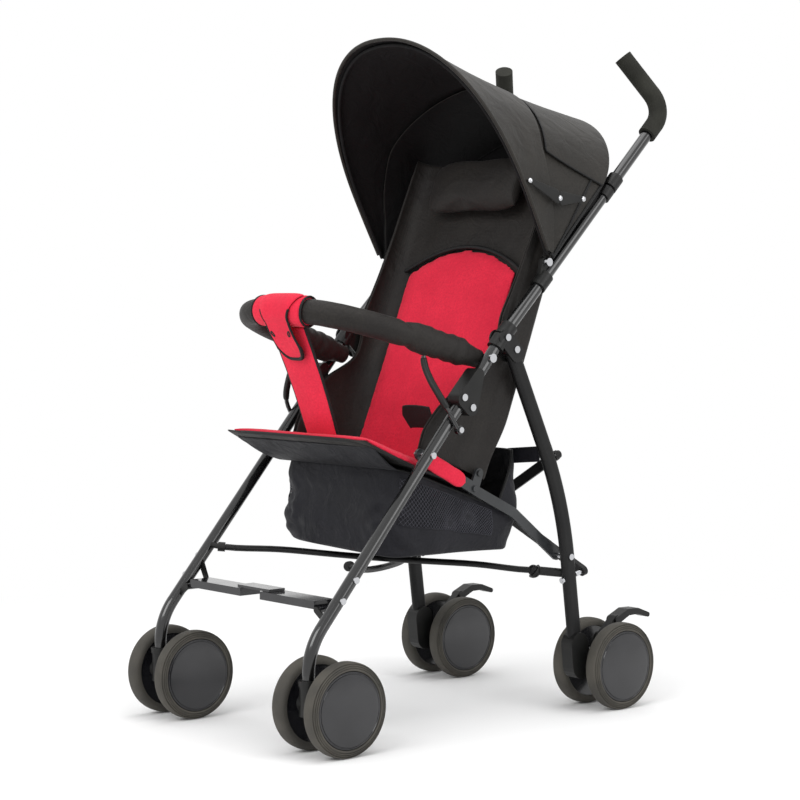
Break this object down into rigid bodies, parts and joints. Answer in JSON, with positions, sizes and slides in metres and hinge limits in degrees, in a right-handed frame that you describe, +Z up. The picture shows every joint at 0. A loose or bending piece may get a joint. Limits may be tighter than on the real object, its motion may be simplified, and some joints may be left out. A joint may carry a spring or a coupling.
{
  "type": "umbrella stroller",
  "caption": "Folding umbrella stroller: black tube frame, swivel twin front wheels, braked rear wheels, red padded seat, bumper bar, black sun hood and mesh basket.",
  "frame": {"origin": "on the floor, under the middle of the part's length and width", "axes": "+X is the seated child's left, -Y is the front, +Z is up"},
  "size_m": [0.482, 0.782, 1.0704],
  "materials": {
    "tube_black": "gloss black powder coat",
    "grey_paint": "satin grey paint",
    "foam_grip": "soft foam",
    "black_plastic": "satin moulded plastic",
    "bolt_steel": "bright plated steel",
    "tyre_grey": "ridged foam tyre with a glossy dark disc",
    "red_cloth": "woven polyester",
    "black_cloth": "woven polyester, padded",
    "hood_cloth": "coated woven polyester",
    "basket_cloth": "mesh and woven polyester"
  },
  "bodies": {
    "seat_unit": {"seat_base": "red_cloth", "bumper_cover": "black_cloth", "bumper_pad": "red_cloth", "crotch_strap": "red_cloth", "lap_belt": "black_cloth", "hood_rear": "hood_cloth", "basket": "basket_cloth"},
    "back_unit": {"backrest": "red_cloth", "head_pillow": "black_cloth"},
    "hood_unit": {"hood_front": "hood_cloth", "hood_bow": "black_plastic"},
    "left_frame": {"front_leg_left": "tube_black", "handle_tube_left": "tube_black", "handle_grip_left": "foam_grip", "frame_joint_left": "black_plastic", "lock_housing_left": "black_plastic", "tube_collars_left": "black_plastic", "bumper_stay_left": "tube_black", "frame_bolts_left": "bolt_steel", "floor_clevis_left": "black_plastic"},
    "left_caster": {"caster_fork_left": "black_plastic", "front_axle_left": "bolt_steel"},
    "left_rear_leg": {"rear_leg_left": "tube_black", "rear_housing_left": "black_plastic", "leg_steel_left": "bolt_steel"},
    "left_brake": {"brake_lever_left": "black_plastic"},
    "left_rail": {"seat_rail_left": "tube_black"},
    "left_link": {"seat_link_left": "grey_paint"},
    "left_brace": {"rear_brace_left": "tube_black"},
    "left_floor_brace": {"floor_brace_left": "tube_black"},
    "left_footrest": {"footrest_left": "black_plastic"},
    "front_wheel_left_outer": {"front_wheel_left_outer": "tyre_grey"},
    "rear_wheel_left_outer": {"rear_wheel_left_outer": "tyre_grey"},
    "front_wheel_left_inner": {"front_wheel_left_inner": "tyre_grey"},
    "rear_wheel_left_inner": {"rear_wheel_left_inner": "tyre_grey"},
    "right_frame": {"front_leg_right": "tube_black", "handle_tube_right": "tube_black", "handle_grip_right": "foam_grip", "frame_joint_right": "black_plastic", "lock_housing_right": "black_plastic", "tube_collars_right": "black_plastic", "bumper_stay_right": "tube_black", "frame_bolts_right": "bolt_steel", "floor_clevis_right": "black_plastic"},
    "right_caster": {"caster_fork_right": "black_plastic", "front_axle_right": "bolt_steel"},
    "right_rear_leg": {"rear_leg_right": "tube_black", "rear_housing_right": "black_plastic", "leg_steel_right": "bolt_steel"},
    "right_brake": {"brake_lever_right": "black_plastic"},
    "right_rail": {"seat_rail_right": "tube_black"},
    "right_link": {"seat_link_right": "grey_paint"},
    "right_brace": {"rear_brace_right": "tube_black"},
    "right_floor_brace": {"floor_brace_right": "tube_black"},
    "right_footrest": {"footrest_right": "black_plastic"},
    "front_wheel_right_outer": {"front_wheel_right_outer": "tyre_grey"},
    "rear_wheel_right_outer": {"rear_wheel_right_outer": "tyre_grey"},
    "front_wheel_right_inner": {"front_wheel_right_inner": "tyre_grey"},
    "rear_wheel_right_inner": {"rear_wheel_right_inner": "tyre_grey"},
    "pedal": {"fold_pedal": "black_plastic"}
  },
  "joints": [
    {"name": "fold", "type": "slide", "parent": "seat_unit", "child": "left_frame", "axis": [-1, 0, 0], "range_m": [0, 0.112], "deforming": ["seat_base", "bumper_cover", "bumper_pad", "crotch_strap", "lap_belt", "hood_rear", "basket", "backrest", "head_pillow", "hood_front", "hood_bow"]},
    {"name": "fold_right", "type": "slide", "parent": "seat_unit", "child": "right_frame", "axis": [1, 0, 0], "range_m": [0, 0.112]},
    {"name": "rear_leg_left", "type": "hinge", "parent": "left_frame", "child": "left_rear_leg", "pos_m": [0.19, 0.0405, 0.583], "axis": [-1, 0, 0], "range_deg": [0, 44.05]},
    {"name": "rear_brace_left", "type": "hinge", "parent": "left_rear_leg", "child": "left_brace", "pos_m": [0.19, 0.1692, 0.216], "axis": [0, 0.9656, 0.26], "range_deg": [0, 41.15]},
    {"name": "floor_brace_left", "type": "hinge", "parent": "left_rear_leg", "child": "left_floor_brace", "pos_m": [0.15, 0.1285, 0.227], "axis": [-0.7568, 0.6261, 0.1877], "range_deg": [0, 69.15]},
    {"name": "footrest_left", "type": "hinge", "parent": "left_frame", "child": "left_footrest", "pos_m": [0.166, -0.3045, 0.208], "axis": [0, 1, 0], "range_deg": [0, 86.05]},
    {"name": "seat_rail_left", "type": "hinge", "parent": "left_frame", "child": "left_rail", "pos_m": [0.1695, -0.1292, 0.4261], "axis": [1, 0, 0], "range_deg": [0, 41.15]},
    {"name": "seat_link_left", "type": "hinge", "parent": "left_rear_leg", "child": "left_link", "pos_m": [0.1635, 0.165, 0.25], "axis": [-1, 0, 0], "range_deg": [0, 38.65]},
    {"name": "swivel_left", "type": "hinge", "parent": "left_frame", "child": "left_caster", "pos_m": [0.19, -0.359, 0.09], "axis": [0, 0, 1], "continuous": true},
    {"name": "brake_left", "type": "hinge", "parent": "left_rear_leg", "child": "left_brake", "pos_m": [0.19, 0.2465, 0.112], "axis": [-1, 0, 0], "range_deg": [0, 18]},
    {"name": "spin_front_left_outer", "type": "hinge", "parent": "left_caster", "child": "front_wheel_left_outer", "pos_m": [0.227, -0.321, 0.07], "axis": [1, 0, 0], "continuous": true},
    {"name": "spin_rear_left_outer", "type": "hinge", "parent": "left_rear_leg", "child": "rear_wheel_left_outer", "pos_m": [0.227, 0.249, 0.07], "axis": [1, 0, 0], "continuous": true},
    {"name": "spin_front_left_inner", "type": "hinge", "parent": "left_caster", "child": "front_wheel_left_inner", "pos_m": [0.153, -0.321, 0.07], "axis": [1, 0, 0], "continuous": true},
    {"name": "spin_rear_left_inner", "type": "hinge", "parent": "left_rear_leg", "child": "rear_wheel_left_inner", "pos_m": [0.153, 0.249, 0.07], "axis": [1, 0, 0], "continuous": true},
    {"name": "rear_leg_right", "type": "hinge", "parent": "right_frame", "child": "right_rear_leg", "pos_m": [-0.19, 0.0405, 0.583], "axis": [-1, 0, 0], "range_deg": [0, 44.05]},
    {"name": "rear_brace_right", "type": "hinge", "parent": "right_rear_leg", "child": "right_brace", "pos_m": [-0.19, 0.1692, 0.216], "axis": [0, -0.9656, -0.26], "range_deg": [0, 41.15]},
    {"name": "floor_brace_right", "type": "hinge", "parent": "right_rear_leg", "child": "right_floor_brace", "pos_m": [-0.15, 0.1285, 0.227], "axis": [-0.7568, -0.6261, -0.1877], "range_deg": [0, 69.15]},
    {"name": "footrest_right", "type": "hinge", "parent": "right_frame", "child": "right_footrest", "pos_m": [-0.166, -0.3045, 0.208], "axis": [0, -1, 0], "range_deg": [0, 86.05]},
    {"name": "seat_rail_right", "type": "hinge", "parent": "right_frame", "child": "right_rail", "pos_m": [-0.1695, -0.1292, 0.4261], "axis": [1, 0, 0], "range_deg": [0, 41.15]},
    {"name": "seat_link_right", "type": "hinge", "parent": "right_rear_leg", "child": "right_link", "pos_m": [-0.1635, 0.165, 0.25], "axis": [-1, 0, 0], "range_deg": [0, 38.65]},
    {"name": "swivel_right", "type": "hinge", "parent": "right_frame", "child": "right_caster", "pos_m": [-0.19, -0.359, 0.09], "axis": [0, 0, 1], "continuous": true},
    {"name": "brake_right", "type": "hinge", "parent": "right_rear_leg", "child": "right_brake", "pos_m": [-0.19, 0.2465, 0.112], "axis": [-1, 0, 0], "range_deg": [0, 18]},
    {"name": "spin_front_right_outer", "type": "hinge", "parent": "right_caster", "child": "front_wheel_right_outer", "pos_m": [-0.227, -0.321, 0.07], "axis": [1, 0, 0], "continuous": true},
    {"name": "spin_rear_right_outer", "type": "hinge", "parent": "right_rear_leg", "child": "rear_wheel_right_outer", "pos_m": [-0.227, 0.249, 0.07], "axis": [1, 0, 0], "continuous": true},
    {"name": "spin_front_right_inner", "type": "hinge", "parent": "right_caster", "child": "front_wheel_right_inner", "pos_m": [-0.153, -0.321, 0.07], "axis": [1, 0, 0], "continuous": true},
    {"name": "spin_rear_right_inner", "type": "hinge", "parent": "right_rear_leg", "child": "rear_wheel_right_inner", "pos_m": [-0.153, 0.249, 0.07], "axis": [1, 0, 0], "continuous": true},
    {"name": "recline", "type": "hinge", "parent": "seat_unit", "child": "back_unit", "pos_m": [0, -0.0091, 0.3801], "axis": [-1, 0, 0], "range_deg": [0, 22]},
    {"name": "hood", "type": "hinge", "parent": "seat_unit", "child": "hood_unit", "pos_m": [0, 0.1125, 0.719], "axis": [-1, 0, 0], "range_deg": [0, 31]},
    {"name": "pedal", "type": "hinge", "parent": "left_brace", "child": "pedal", "pos_m": [0.09958, 0.19621, 0.26993], "axis": [-0.886, -0.1205, 0.4477], "range_deg": [0, 20], "stiffness_Nm_per_rad": 0.4}
  ],
  "couplings": [
    {"joint": "fold_right", "follows": "fold", "ratio": 1},
    {"joint": "rear_leg_left", "follows": "fold", "rad_per_m": 6.8567},
    {"joint": "rear_brace_left", "follows": "fold", "rad_per_m": 6.4047},
    {"joint": "floor_brace_left", "follows": "fold", "rad_per_m": 10.768},
    {"joint": "footrest_left", "follows": "fold", "rad_per_m": 13.402},
    {"joint": "seat_rail_left", "follows": "fold", "rad_per_m": 6.4047},
    {"joint": "seat_link_left", "follows": "fold", "rad_per_m": 6.0152},
    {"joint": "rear_leg_right", "follows": "fold", "rad_per_m": 6.8567},
    {"joint": "rear_brace_right", "follows": "fold", "rad_per_m": 6.4047},
    {"joint": "floor_brace_right", "follows": "fold", "rad_per_m": 10.768},
    {"joint": "footrest_right", "follows": "fold", "rad_per_m": 13.402},
    {"joint": "seat_rail_right", "follows": "fold", "rad_per_m": 6.4047},
    {"joint": "seat_link_right", "follows": "fold", "rad_per_m": 6.0152}
  ]
}
